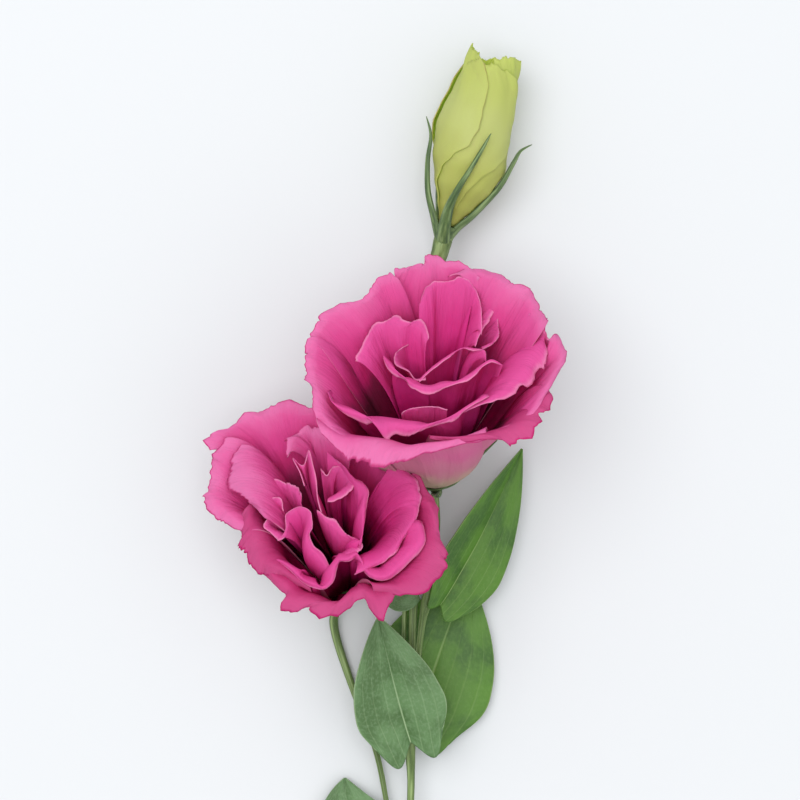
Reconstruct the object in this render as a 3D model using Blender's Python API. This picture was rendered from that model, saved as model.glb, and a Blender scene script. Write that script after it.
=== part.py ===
"""A cut spray of double lisianthus lying face up: two open flowers, a bud, their stalks and the leaves.

Lengths are millimetres until a mesh is built, where MM turns them into metres. X runs across the spray,
Y along it from the cut end to the bud, and Z up from the table that it lies on. Points are laid out from
a handy place inside the spray, and the spray's empty moves that place so that 0, 0, 0 is on the table,
under the middle of the spray's box. A flower has an empty too, whose +Z is the flower's axis.
"""

import math
from collections import namedtuple
from functools import partial

import bmesh
import bpy
from mathutils import Matrix, Vector

MM = 0.001

# Driving dimensions
ORIGIN = (-6.34, -38.44, 0.05)
PETAL_THICK = 0.4
LEAF_THICK = 0.6
BUD_LAYER = 2.8
SEPAL_THICK = 0.9
CUP_DEPTH = 5.0
STALK_GAP = 0.35

# Colours, linear
PETAL_PINK = (0.72, 0.13, 0.35)
BUD_LIME = (0.50, 0.60, 0.18)
CALYX_GREEN = (0.10, 0.22, 0.08)
LEAF_GREEN = (0.08, 0.20, 0.06)
STEM_GREEN = (0.14, 0.28, 0.10)

# An open flower's petals lie on nested bowls: level 0 is the one round its axis and level 1 the
# outermost. core is the radius of the ring that the petals' feet stand on, and stalk its stalk's radius.
# drift is how far the heart leans away from the axis at its rim, in the flower's own directions.
Flower = namedtuple("Flower", "base axis mouth depth core stalk drift")
# azimuth and spread are degrees round the axis. Azimuth 0 points to +X and 90 away from the cut end.
# lean tips the petal's left edge inwards and its right edge outwards, in levels.
# length is the share of the bowl's height, and root the spread at the foot.
Petal = namedtuple("Petal", "name azimuth spread level lean length root")
# lift is the sepal's slope at its foot and curl how much steeper it is at its tip, in degrees.
Sepal = namedtuple("Sepal", "azimuth length lift curl")
# width is half the leaf's width, and neck the share of it at the base. heart is how far the lobes reach
# back past the base, roll turns the blade about its midrib, and fold lifts both halves from it.
Leaf = namedtuple("Leaf", "name base middle tip width neck heart roll fold")

UPPER = Flower(
    Vector((10.4, -22.5, 21.5)), Vector((0.0, 0.62, 0.785)), 40.5, 52.0, 4.6, 1.3, Vector((-6, 9.4, 1))
)
LOWER = Flower(
    Vector((-17.0, -54.0, 13.5)), Vector((-0.15, 0.48, 0.86)), 36.5, 43.0, 4.6, 1.5, Vector((1, 1, 0))
)
BUD = Flower(
    Vector((14.1, 52.4, 11.9)), Vector((0.253, 0.96, 0.06)), 11.6, 53.5, 3.4, 2.5, Vector()
)

UPPER_PETALS = (
    Petal("outer_1", 270, 42, 0.95, 0.06, 0.84, 17),
    Petal("outer_2", 327, 42, 0.92, 0.06, 0.90, 17),
    Petal("outer_3", 28, 44, 0.92, 0.06, 1.00, 17),
    Petal("outer_4", 90, 46, 0.94, 0.06, 1.01, 17),
    Petal("outer_5", 151, 44, 0.93, 0.06, 1.00, 17),
    Petal("outer_6", 212, 42, 0.93, 0.06, 0.89, 17),
    Petal("middle_1", 345, 46, 0.68, 0.06, 0.88, 22),
    Petal("middle_2", 60, 50, 0.67, 0.06, 0.97, 22),
    Petal("middle_3", 130, 48, 0.66, 0.06, 0.96, 22),
    Petal("middle_4", 200, 46, 0.67, 0.06, 0.94, 22),
    Petal("middle_5", 270, 52, 0.67, 0.06, 0.78, 22),
    Petal("inner_1", 312, 58, 0.43, 0.07, 0.80, 32),
    Petal("inner_2", 38, 54, 0.43, 0.07, 0.86, 32),
    Petal("inner_3", 128, 58, 0.42, 0.07, 0.80, 32),
    Petal("inner_4", 220, 56, 0.42, 0.07, 0.72, 32),
    Petal("heart_1", 300, 76, 0.16, 0.02, 0.68, 55),
    Petal("heart_2", 120, 76, 0.16, 0.02, 0.68, 55),
)
LOWER_PETALS = (
    Petal("outer_1", 50, 42, 0.94, 0.06, 0.92, 17),
    Petal("outer_2", 108, 44, 0.95, 0.06, 1.03, 17),
    Petal("outer_3", 160, 44, 0.95, 0.06, 1.0, 17),
    Petal("outer_4", 224, 40, 0.88, 0.06, 0.91, 17),
    Petal("outer_5", 288, 42, 0.90, 0.06, 0.93, 17),
    Petal("outer_6", 350, 44, 0.92, 0.06, 0.96, 17),
    Petal("middle_1", 20, 48, 0.67, 0.06, 0.86, 22),
    Petal("middle_2", 92, 48, 0.66, 0.06, 0.96, 22),
    Petal("middle_3", 164, 48, 0.67, 0.06, 0.96, 22),
    Petal("middle_4", 236, 48, 0.65, 0.06, 0.80, 22),
    Petal("middle_5", 308, 48, 0.66, 0.06, 0.82, 22),
    Petal("inner_1", 350, 56, 0.43, 0.07, 0.84, 32),
    Petal("inner_2", 80, 56, 0.42, 0.07, 0.92, 32),
    Petal("inner_3", 170, 56, 0.43, 0.07, 0.88, 32),
    Petal("inner_4", 260, 56, 0.42, 0.07, 0.84, 32),
    Petal("heart_1", 320, 76, 0.16, 0.02, 0.76, 55),
    Petal("heart_2", 140, 76, 0.16, 0.02, 0.76, 55),
)
BUD_PETALS = (
    Petal("petal_1", 205, 52, 0.66, 0.30, 1.00, 26),
    Petal("petal_2", 277, 52, 0.66, 0.30, 0.90, 26),
    Petal("petal_3", 349, 52, 0.66, 0.30, 0.96, 26),
    Petal("petal_4", 61, 52, 0.66, 0.30, 0.97, 26),
    Petal("petal_5", 133, 52, 0.66, 0.30, 0.95, 26),
)
BUD_TWIST = 80.0
# Share of the bud's length, and its radius there
BUD_PROFILE = ((0.0, 3.4), (0.12, 6.3), (0.28, 9.6), (0.46, 11.6), (0.65, 11.2), (0.85, 9.2), (1.0, 8.0))

UPPER_SEPALS = (
    Sepal(345, 20, 60, -40),
    Sepal(57, 20, 34, -10),
    Sepal(129, 20, 34, -20),
    Sepal(201, 13, 30, -60),
    Sepal(273, 11, 36, -20),
)
LOWER_SEPALS = (
    Sepal(10, 16, 30, -20),
    Sepal(82, 18, 34, -20),
    Sepal(154, 27, 24, -50),
    Sepal(226, 13, 25, -30),
    Sepal(298, 11, 34, -20),
)
BUD_SEPALS = (
    Sepal(348, 34, 66, 4),
    Sepal(276, 27, 60, 26),
    Sepal(204, 30, 58, 38),
    Sepal(132, 28, 60, 30),
    Sepal(60, 30, 58, 30),
)

LEAVES = (
    Leaf("upper_right_leaf", (12.0, -61.4, 12.4), (23.0, -43.0, 10.0), (36.6, -14.7, 7.5),
         12.4, 0.62, 3, -30, 25),
    Leaf("upper_left_leaf", (5.4, -57.6, 12.6), (-1.5, -55.6, 11.4), (-11.6, -46.0, 9.0),
         6.5, 0.3, 0, 6, 12),
    Leaf("back_leaf", (4.6, -101.0, 5.0), (11.4, -78.0, 3.6), (21.0, -52.5, 2.6),
         19.0, 0.62, 5, 0, 4),
    Leaf("front_leaf", (2.4, -102.3, 13.0), (-2.0, -86.4, 15.6), (-6.5, -64.5, 17.0),
         14.4, 0.66, 6, 0, 26),
    Leaf("bottom_left_leaf", (-2.4, -147.5, 7.2), (-10.0, -132.6, 4.4), (-17.0, -114.2, 2.4),
         11, 0.55, 2, 8, 12),
    Leaf("bottom_right_leaf", (6.0, -147.9, 7.2), (15.0, -139.2, 4.4), (26.0, -129.4, 2.2),
         8, 0.55, 2, -8, 12),
)

# Each stem is a line of points with the stem's radius at each. A stem that bears a flower runs on to it.
STEMS = (
    (
        "main_stem",
        ((0.0, -181.5, 1.35, 1.3), (0.9, -164.0, 2.4, 1.3), (1.6, -149.0, 4.4, 1.5),
         (2.6, -132.0, 6.6, 1.15), (3.3, -116.0, 8.2, 1.1), (3.0, -100.3, 9.1, 1.6)),
        None,
    ),
    (
        "left_branch",
        ((-0.9, -146.4, 4.8, 0.7), (-2.4, -133.0, 4.6, 0.75), (-4.2, -120.6, 3.6, 0.8),
         (-7.6, -105.0, 2.4, 0.9), (-15.2, -84.5, 1.6, 1.1), (-20.0, -67.0, 2.4, 1.35)),
        LOWER,
    ),
    (
        "upper_flower_stalk",
        ((4.9, -99.6, 10.0, 0.9), (5.6, -88.0, 10.8, 0.9), (5.5, -77.8, 11.6, 0.95),
         (6.6, -67.0, 12.8, 1.0), (7.8, -60.4, 13.8, 1.5), (9.6, -50.0, 14.8, 1.0),
         (11.0, -38.0, 13.6, 0.95)),
        UPPER,
    ),
    (
        "bud_stalk",
        ((2.9, -99.8, 8.6, 1.2), (3.2, -88.0, 8.8, 1.25), (3.6, -76.8, 8.8, 1.25), (4.3, -58.5, 8.4, 1.2),
         (7.6, -24.1, 7.0, 1.2), (9.4, 12.0, 6.8, 1.4), (10.2, 36.0, 9.0, 1.8)),
        BUD,
    ),
    (
        "side_shoot",
        ((0.9, -99.4, 8.6, 0.7), (0.8, -88.0, 8.6, 0.7), (1.1, -75.1, 8.8, 0.7), (1.5, -58.9, 8.8, 0.7),
         (2.6, -46.0, 9.0, 0.7)),
        None,
    ),
)


def smoothstep(low, high, x):
    """0 below low, 1 above high and a smooth rise between."""
    t = min(max((x - low) / (high - low), 0.0), 1.0)
    return t * t * (3 - 2 * t)


def along(table, x):
    """The value at x of a table of (x, value) pairs, joined smoothly."""
    for (x0, y0), (x1, y1) in zip(table, table[1:]):
        if x <= x1:
            return y0 + (y1 - y0) * smoothstep(x0, x1, x) * 0.5 + (y1 - y0) * (x - x0) / (x1 - x0) * 0.5
    return table[-1][1]


def polar(angle, radius, height):
    """A point at this angle, radius and height about a flower's axis, in the flower's own directions."""
    return Vector((radius * math.cos(angle), radius * math.sin(angle), height))


def bowl(flower, level, t):
    """Distance from the axis and height above the base at share t of the way up a nested bowl."""
    foot = flower.core * (0.26 + 0.74 * level)
    rim = 0.10 * flower.mouth + 0.90 * flower.mouth * level
    out = t**1.9
    cup = math.sin(0.5 * math.pi * out**0.62)
    cone_share = 0.75 * level * level
    return foot + (rim - foot) * out, flower.depth * (cone_share * out + (1 - cone_share) * cup)


def petal_point(flower, petal, u, v):
    """A point of an open petal: u runs across it from -1 to 1, and v from foot to rim, 0 to 1."""
    t = petal.length * v * (1 - 0.16 * abs(u) ** 3.5)
    opened = smoothstep(0.0, 0.55, t)
    angle = math.radians(petal.azimuth + u * (petal.root + (petal.spread - petal.root) * opened))
    level = petal.level + petal.lean * u * opened
    return polar(angle, *bowl(flower, level, t)) + flower.drift * ((1 - level) * t * t)


def bud_point(bud, petal, u, v):
    """A point of a petal of the bud, which is furled round the next one in a spiral."""
    t = petal.length * v * (1 - 0.12 * abs(u) ** 3)
    opened = smoothstep(0.0, 0.3, t)
    spread = petal.root + (petal.spread - petal.root) * opened
    angle = math.radians(petal.azimuth + u * spread + BUD_TWIST * (t - 0.5))
    inset = BUD_LAYER * (1 - petal.level - petal.lean * u) * opened
    return polar(angle, along(BUD_PROFILE, t) - inset, bud.depth * t)


def leaf_share(neck, v):
    """A leaf's width at share v of its length, as a share of its greatest width."""
    widest = 0.36
    if v < widest:
        return neck + (1 - neck) * math.sin(0.5 * math.pi * v / widest)
    return math.cos(0.5 * math.pi * (v - widest) / (1 - widest)) ** 0.85


def leaf_point(leaf, u, v):
    """A point of a leaf: u runs across it from -1 to 1, and v from its base at 0 to its tip at 1."""
    base, middle, tip = Vector(leaf.base), Vector(leaf.middle), Vector(leaf.tip)
    control = middle * 2 - (base + tip) / 2
    spine = base * (1 - v) ** 2 + control * 2 * v * (1 - v) + tip * v * v
    onward = ((control - base) * (1 - v) + (tip - control) * v).normalized()
    flat = onward.cross(Vector((0, 0, 1))).normalized()
    up = flat.cross(onward)
    roll = math.radians(leaf.roll)
    across = flat * math.cos(roll) + up * math.sin(roll)
    lift = up * math.cos(roll) - flat * math.sin(roll)
    fold = math.radians(leaf.fold)
    half = max(leaf.width * leaf_share(leaf.neck, v), 0.35)
    lobes = math.sin(1.15 * math.pi * abs(u) ** 1.3)
    back = leaf.heart * max(1 - v / 0.45, 0.0) ** 2 * lobes
    droop = 0.10 * half * u * u
    raised = abs(u) * half * math.sin(fold) - droop
    return spine + across * (u * half * math.cos(fold)) + lift * raised - onward * back


def material(name, colour, roughness):
    made = bpy.data.materials.new(name)
    made.use_nodes = True
    shader = made.node_tree.nodes["Principled BSDF"]
    shader.inputs["Base Color"].default_value = (*colour, 1.0)
    shader.inputs["Roughness"].default_value = roughness
    shader.inputs["Metallic"].default_value = 0.0
    made.diffuse_color = (*colour, 1.0)
    return made


def add_empty(name, place, turn, parent):
    """An empty at a place in millimetres, turned by a 3 x 3 matrix."""
    empty = bpy.data.objects.new(name, None)
    empty.empty_display_size = 0.01
    empty.matrix_local = Matrix.Translation(Vector(place) * MM) @ turn.to_4x4()
    empty.parent = parent
    bpy.context.scene.collection.objects.link(empty)
    return empty


def flower_empty(name, flower, parent):
    """The frame of a flower: +Z along its axis, and +X as near to the spray's as that allows."""
    axis = flower.axis.normalized()
    side = (Vector((1, 0, 0)) - axis * axis.x).normalized()
    turn = Matrix((side, axis.cross(side), axis)).transposed()
    return add_empty(name, flower.base, turn, parent)


def add_object(name, data, finish, parent):
    data.materials.append(finish)
    obj = bpy.data.objects.new(name, data)
    obj.parent = parent
    bpy.context.scene.collection.objects.link(obj)
    return obj


def add_mesh(name, bm, finish, parent):
    """The bmesh, laid out in millimetres, as a smooth object in metres."""
    bmesh.ops.scale(bm, vec=(MM, MM, MM), verts=bm.verts)
    mesh = bpy.data.meshes.new(name)
    bm.to_mesh(mesh)
    bm.free()
    mesh.shade_smooth()
    return add_object(name, mesh, finish, parent)


def add_sheet(name, point, cells, thick, finish, parent):
    """A thin solid over the surface that point(u, v) gives, with u from -1 to 1 and v from 0 to 1."""
    bm = bmesh.new()
    bmesh.ops.create_grid(bm, x_segments=cells[0], y_segments=cells[1], size=1.0)
    for vert in bm.verts:
        vert.co = point(vert.co.x, (vert.co.y + 1) / 2)
    obj = add_mesh(name, bm, finish, parent)
    shell = obj.modifiers.new("Thickness", "SOLIDIFY")
    shell.thickness = thick * MM
    shell.offset = 0.0
    return obj


def sepal_section(sepal, share, foot):
    """The four corners of a sepal's section at this share of its length."""
    radius, height, steps = *foot, 12
    for step in range(steps):
        slope = math.radians(sepal.lift + sepal.curl * (step + 0.5) / steps * share)
        radius += math.cos(slope) * sepal.length * share / steps
        height += math.sin(slope) * sepal.length * share / steps
    slope = math.radians(sepal.lift + sepal.curl * share)
    half_width = 1.5 * (1 - share) ** 0.7 + 0.15
    half_thick = 0.5 * SEPAL_THICK * (1 - 0.5 * share)
    angle = math.radians(sepal.azimuth)
    corners = []
    for across, outward in ((-1, 1), (1, 1), (1, -1), (-1, -1)):
        r = radius + outward * half_thick * math.sin(slope)
        h = height - outward * half_thick * math.cos(slope)
        corners.append(polar(angle + across * half_width / max(r, 4.0), r, h))
    return corners


def add_calyx(name, flower, sepals, finish, parent):
    """A cup under the petals that narrows to the stalk, with its sepals grown out of its rim."""
    bm = bmesh.new()
    sides = 15
    first = math.radians(sepals[0].azimuth)
    turns = [first + math.tau * (i + 0.5) / sides for i in range(sides)]
    neck = 0.5 * (flower.core + flower.stalk)
    core = flower.core
    rings = ((flower.stalk, -CUP_DEPTH), (neck, -3.8), (core + 0.2, -2.6), (core + 0.9, -0.9))
    loops = [[bm.verts.new(polar(turn, *ring)) for turn in turns] for ring in rings]
    for lower, upper in zip(loops, loops[1:]):
        band = [
            bm.faces.new((lower[i - 1], lower[i], upper[i], upper[i - 1])) for i in range(sides)
        ]
    bm.faces.new(reversed(loops[0]))
    bm.faces.new(loops[-1])
    for sepal in sepals:
        face = band[round((math.radians(sepal.azimuth) - first) / math.tau * sides) % sides]
        for share in (0.0, 0.25, 0.5, 0.75, 1.0):
            face = bmesh.ops.extrude_discrete_faces(bm, faces=[face])["faces"][0]
            corners = sepal_section(sepal, share, (flower.core + 1.6, -1.5))
            for vert, corner in zip(face.verts, corners):
                vert.co = corner
    return add_mesh(name, bm, finish, parent)


def add_stem(name, points, flower, finish, parent):
    """A round stem along a smooth line, with its own radius at each point."""
    if flower:
        axis = flower.axis.normalized()
        end = flower.base - axis * (CUP_DEPTH + STALK_GAP)
        points = (*points, (*(end - axis * 2.5), flower.stalk), (*end, flower.stalk))
    curve = bpy.data.curves.new(name, "CURVE")
    curve.dimensions = "3D"
    curve.resolution_u = 4
    curve.bevel_depth = MM
    curve.bevel_resolution = 2
    curve.use_fill_caps = True
    spline = curve.splines.new("BEZIER")
    spline.bezier_points.add(len(points) - 1)
    for knot, (x, y, z, radius) in zip(spline.bezier_points, points):
        knot.co = Vector((x, y, z)) * MM
        knot.handle_left_type = knot.handle_right_type = "AUTO"
        knot.radius = radius
    return add_object(name, curve, finish, parent)


def main():
    for obj in list(bpy.data.objects):
        bpy.data.objects.remove(obj)
    pink = material("petal_pink", PETAL_PINK, 0.6)
    lime = material("bud_lime", BUD_LIME, 0.6)
    calyx_green = material("calyx_green", CALYX_GREEN, 0.6)
    leaf_green = material("leaf_green", LEAF_GREEN, 0.55)
    stem_green = material("stem_green", STEM_GREEN, 0.5)
    spray = add_empty("spray", [-x for x in ORIGIN], Matrix.Identity(3), None)
    for prefix, flower, petals, sepals in (
        ("upper_flower", UPPER, UPPER_PETALS, UPPER_SEPALS),
        ("lower_flower", LOWER, LOWER_PETALS, LOWER_SEPALS),
        ("bud", BUD, BUD_PETALS, BUD_SEPALS),
    ):
        frame = flower_empty(f"{prefix}_frame", flower, spray)
        surface = bud_point if flower is BUD else petal_point
        finish = lime if flower is BUD else pink
        for petal in petals:
            point = partial(surface, flower, petal)
            add_sheet(f"{prefix}_{petal.name}", point, (6, 6), PETAL_THICK, finish, frame)
        add_calyx(f"{prefix}_calyx", flower, sepals, calyx_green, frame)
    for leaf in LEAVES:
        add_sheet(leaf.name, partial(leaf_point, leaf), (8, 9), LEAF_THICK, leaf_green, spray)
    for name, points, flower in STEMS:
        add_stem(name, points, flower, stem_green, spray)


main()
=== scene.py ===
# %% [markdown]
# # A cut spray of double lisianthus
# The spray lies on a pale table and is seen from straight above: two open pink blooms, a green bud, thin
# forked stems and waxy leaves. Every piece here stands for one solid of the plain model and takes its place.
# It is drawn again on a finer grid, so that each petal can have its own fold, ruffles, veins and thin edge.

# %% Load the plain model
import math
from collections import namedtuple
from functools import partial

import bmesh
import bpy
from mathutils import Matrix, Vector, noise


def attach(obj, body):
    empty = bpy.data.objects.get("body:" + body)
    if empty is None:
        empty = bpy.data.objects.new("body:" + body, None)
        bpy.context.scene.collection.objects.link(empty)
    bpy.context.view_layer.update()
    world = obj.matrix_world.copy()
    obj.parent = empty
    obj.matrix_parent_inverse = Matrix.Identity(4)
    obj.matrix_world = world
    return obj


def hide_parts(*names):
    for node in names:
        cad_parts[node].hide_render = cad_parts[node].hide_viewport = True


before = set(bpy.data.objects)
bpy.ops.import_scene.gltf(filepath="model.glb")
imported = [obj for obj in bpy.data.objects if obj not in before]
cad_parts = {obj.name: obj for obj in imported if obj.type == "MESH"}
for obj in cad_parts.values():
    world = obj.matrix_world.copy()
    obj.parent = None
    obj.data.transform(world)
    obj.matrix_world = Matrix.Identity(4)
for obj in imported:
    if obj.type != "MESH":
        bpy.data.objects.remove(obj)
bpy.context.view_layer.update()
MM = 0.001

# %% [markdown]
# ## Where things are
# The plain model was laid out in millimetres from a handy place inside the spray, and then moved so that
# 0, 0, 0 is on the table under its middle. HOME is where the handy place ended up. Each bloom has its own
# frame too: a base point, an axis, and a direction for azimuth 0, with the radius of the cup and of the
# stalk under it.
# Working in the frame of the bloom keeps the petal maths short, because there a petal is only an angle, a
# distance from the axis and a height.

# %% Frames of the blooms
HOME = Vector((6.34, 38.44, -0.05))

Bloom = namedtuple("Bloom", "base axis cup stalk")
UPPER = Bloom(Vector((10.4, -22.5, 21.5)), Vector((0.0, 0.62, 0.785)), 4.6, 1.3)
LOWER = Bloom(Vector((-17.0, -54.0, 13.5)), Vector((-0.15, 0.48, 0.86)), 4.6, 1.5)
BUD = Bloom(Vector((14.1, 52.4, 11.9)), Vector((0.253, 0.96, 0.06)), 3.4, 2.5)


def turned(bloom):
    """The bloom's own directions, as a matrix that takes them to the spray's."""
    axis = bloom.axis.normalized()
    side = (Vector((1, 0, 0)) - axis * axis.x).normalized()
    turn = Matrix((side, axis.cross(side), axis)).transposed().to_4x4()
    return Matrix.Translation(HOME + bloom.base) @ turn


def smoothstep(low, high, x):
    """0 below low, 1 above high and a smooth rise between."""
    t = min(max((x - low) / (high - low), 0.0), 1.0)
    return t * t * (3 - 2 * t)


def mix(a, b, share):
    """A number between a and b."""
    return a + (b - a) * share


def wobble(*place):
    """Smooth noise from about -1 to 1, the same at the same place every time."""
    return noise.noise(Vector(place))


for title, bloom in (("upper bloom", UPPER), ("lower bloom", LOWER), ("bud", BUD)):
    start, lean = [round(c) for c in HOME + bloom.base], math.degrees(bloom.axis.angle(Vector((0, 0, 1))))
    print("the", title, "starts at", start, "mm and leans", round(lean), "degrees")

# %% [markdown]
# ## One way to make every sheet
# Petals, sepals and leaves are all thin sheets. A grid is the plainest start: its corners run from -1 to 1
# across and from 0 to 1 along, and a function then says where each of its points goes. The same two numbers
# are kept as the UV map, so a colour can follow the petal from its foot to its rim whatever its shape is.
# A Solidify modifier gives the sheet its thickness last, when the shape is done.

# %% Sheets from a grid
def add_grid(bm, uv, point, cells):
    """Adds the surface point(u, v) to a bmesh, with u from -1 to 1 and v from 0 to 1, and its UV map."""
    grid = bmesh.ops.create_grid(bm, x_segments=cells[0], y_segments=cells[1], size=1.0)["verts"]
    for face in {face for vert in grid for face in vert.link_faces}:
        for loop in face.loops:
            loop[uv].uv = (loop.vert.co.x / 2 + 0.5, loop.vert.co.y / 2 + 0.5)
    for vert in grid:
        vert.co = point(vert.co.x, (vert.co.y + 1) / 2)


def surface_mesh(name, surfaces, place, closed=False):
    """A smooth mesh of one or more surfaces. A closed one has its seams merged and its ends filled."""
    bm = bmesh.new()
    uv = bm.loops.layers.uv.new("Sheet")
    for point, cells in surfaces:
        add_grid(bm, uv, point, cells)
    if closed:
        bmesh.ops.remove_doubles(bm, verts=bm.verts, dist=0.004)
        bmesh.ops.holes_fill(bm, edges=[edge for edge in bm.edges if edge.is_boundary])
        bmesh.ops.recalc_face_normals(bm, faces=bm.faces)
    bmesh.ops.transform(bm, matrix=Matrix.Scale(MM, 4) @ place, verts=bm.verts)
    mesh = bpy.data.meshes.new(name)
    bm.to_mesh(mesh)
    bm.free()
    mesh.shade_smooth()
    return mesh


def add_piece(name, mesh, nodes, slot, *finishes):
    """A piece that stands for solids of the plain model, and takes its place."""
    for finish in finishes:
        mesh.materials.append(finish)
    piece = bpy.data.objects.new(name, mesh)
    bpy.context.scene.collection.objects.link(piece)
    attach(piece, "root")
    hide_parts(*nodes)
    return piece


def thicken(piece, thick, inner_offset=0):
    """A real thickness in millimetres, with the second finish on the other face if there is one."""
    shell = piece.modifiers.new("Thickness", "SOLIDIFY")
    shell.thickness = thick * MM
    shell.offset = 0.0
    shell.material_offset = inner_offset
    return piece


print("shapes are worked out in millimetres, and written to a mesh at", MM, "m each")

# %% [markdown]
# ## Shader maths in plain Python
# A colour that fades, with streaks over it, takes a dozen small nodes. Writing them as sums reads better
# than linking them by hand, so one small class wraps a socket: adding or multiplying two of them adds the
# Math node that does it. Any other node comes from one method, which sets its options and links its inputs.

# %% A socket that can be added and multiplied
class Value:
    def __init__(self, nodes, socket):
        self.nodes, self.socket = nodes, socket

    def node(self, kind, settings=None, inputs=None, output=0):
        """A new node of a kind, set up and linked, as the value of one of its outputs."""
        made = self.nodes.new(kind)
        for key, setting in (settings or {}).items():
            if key == "stops":
                fill_ramp(made.color_ramp, setting)
            else:
                setattr(made, key, setting)
        for key, source in (inputs or {}).items():
            if isinstance(source, Value):
                self.nodes.id_data.links.new(source.socket, made.inputs[key])
            else:
                made.inputs[key].default_value = source
        return Value(self.nodes, made.outputs[output])

    def math(self, operation, *terms):
        return self.node("ShaderNodeMath", {"operation": operation}, dict(enumerate(terms)))

    def __add__(self, other):
        return self.math("ADD", self, other)

    def __sub__(self, other):
        return self.math("SUBTRACT", self, other)

    def __rsub__(self, other):
        return self.math("SUBTRACT", other, self)

    def __mul__(self, other):
        return self.math("MULTIPLY", self, other)

    __radd__, __rmul__ = __add__, __mul__

    def size(self):
        return self.math("ABSOLUTE", self)

    def rise(self, low, high):
        """0 where this is under low, 1 where it is over high, and a smooth rise between."""
        settings = {"interpolation_type": "SMOOTHSTEP"}
        return self.node("ShaderNodeMapRange", settings, {0: self, 1: low, 2: high})

    def ramp(self, *stops):
        """A colour for each value, from (value, colour) stops."""
        return self.node("ShaderNodeValToRGB", {"stops": stops}, {0: self})

    def over(self, top, share, blend="MIX"):
        """This colour with another laid over it."""
        settings = {"data_type": "RGBA", "blend_type": blend}
        return self.node("ShaderNodeMix", settings, {0: share, 6: self, 7: top}, 2)


def fill_ramp(ramp, stops):
    """Sets a colour ramp's stops, eased from each to the next."""
    ramp.interpolation = "EASE"
    while len(ramp.elements) < len(stops):
        ramp.elements.new(1.0)
    for element, (place, colour) in zip(ramp.elements, stops):
        element.position = place
        element.color = (*colour, 1.0)


def srgb(red, green, blue):
    """A colour as it is named on a colour wheel, 0 to 255, as the light that it reflects."""
    return tuple(
        c / 255 / 12.92 if c <= 10.3 else ((c / 255 + 0.055) / 1.055) ** 2.4 for c in (red, green, blue)
    )


def new_finish(name, roughness, **constants):
    """A material with its Principled shader, and a first value to build on."""
    finish = bpy.data.materials.new(name)
    finish.use_nodes = True
    tree = finish.node_tree
    shader = tree.nodes["Principled BSDF"]
    shader.inputs["Roughness"].default_value = roughness
    for key, constant in constants.items():
        shader.inputs[key.replace("_", " ")].default_value = constant
    return finish, shader, Value(tree.nodes, shader.outputs[0])


def sheet_uv(start):
    """The two numbers of a sheet: 0 to 1 across it, and 0 to 1 along it."""
    uv = start.node("ShaderNodeTexCoord", output="UV")
    return (start.node("ShaderNodeSeparateXYZ", {}, {0: uv}, axis) for axis in ("X", "Y"))


def streaks(start, across, along, counts, detail):
    """Noise drawn out along a sheet, with so many streaks across it and so many patches along it."""
    place = start.node("ShaderNodeCombineXYZ", {}, {0: across * counts[0], 1: along * counts[1]})
    inputs = {"Vector": place, "Scale": 1.0, "Detail": detail}
    return start.node("ShaderNodeTexNoise", {"noise_dimensions": "2D"}, inputs)


def link_up(start, shader, colour, bump, strength, distance):
    """The colour and the relief to the shader."""
    links = start.nodes.id_data.links
    links.new(colour.socket, shader.inputs["Base Color"])
    relief = start.node(
        "ShaderNodeBump", {}, {"Strength": strength, "Distance": distance * MM, "Height": bump}
    )
    links.new(relief.socket, shader.inputs["Normal"])


def let_light_through(start, shader, colour, share):
    """Mixes in light that comes through from behind, as it does in a petal."""
    links = start.nodes.id_data.links
    through = start.node("ShaderNodeBsdfTranslucent", {}, {"Color": (*colour, 1.0)})
    both = start.node("ShaderNodeMixShader", {}, {0: share, 1: start, 2: through})
    links.new(both.socket, start.nodes["Material Output"].inputs["Surface"])


print("a colour of 128 reflects", round(srgb(128, 128, 128)[0], 2), "of the light")

# %% [markdown]
# ## Petal colour
# A lisianthus petal is crimson at its foot, bright pink over its broad part and paler towards the rim, with a
# hair-thin darker line where it ends. The foot is painted darker still, near black, as painted shade where it
# lies deep in the bloom. Fine veins fan out from the foot. All of this, the painted shade too, follows the
# petal and not the room, so it is driven by the sheet's own two numbers: the stops say how far along the
# petal each colour is reached, and so how far up the painted shade goes. The outside of a petal is dusty near
# its
# foot, where it was green in the bud, so back and face are two finishes of one recipe. There are three pairs:
# outer petals; a darker copy of them for the few whose lips turn down, away from the light, which is painted
# shade; and inner petals, which keep a brighter pink further down, partly painted light that lifts the shade
# deep in the bloom, with a painted highlight along their thin rims. A petal is thin and velvety, so it hardly
# shines, and a share of the light comes through from behind.

# %% Petal finishes
GLOW = srgb(234, 24, 156)


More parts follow.
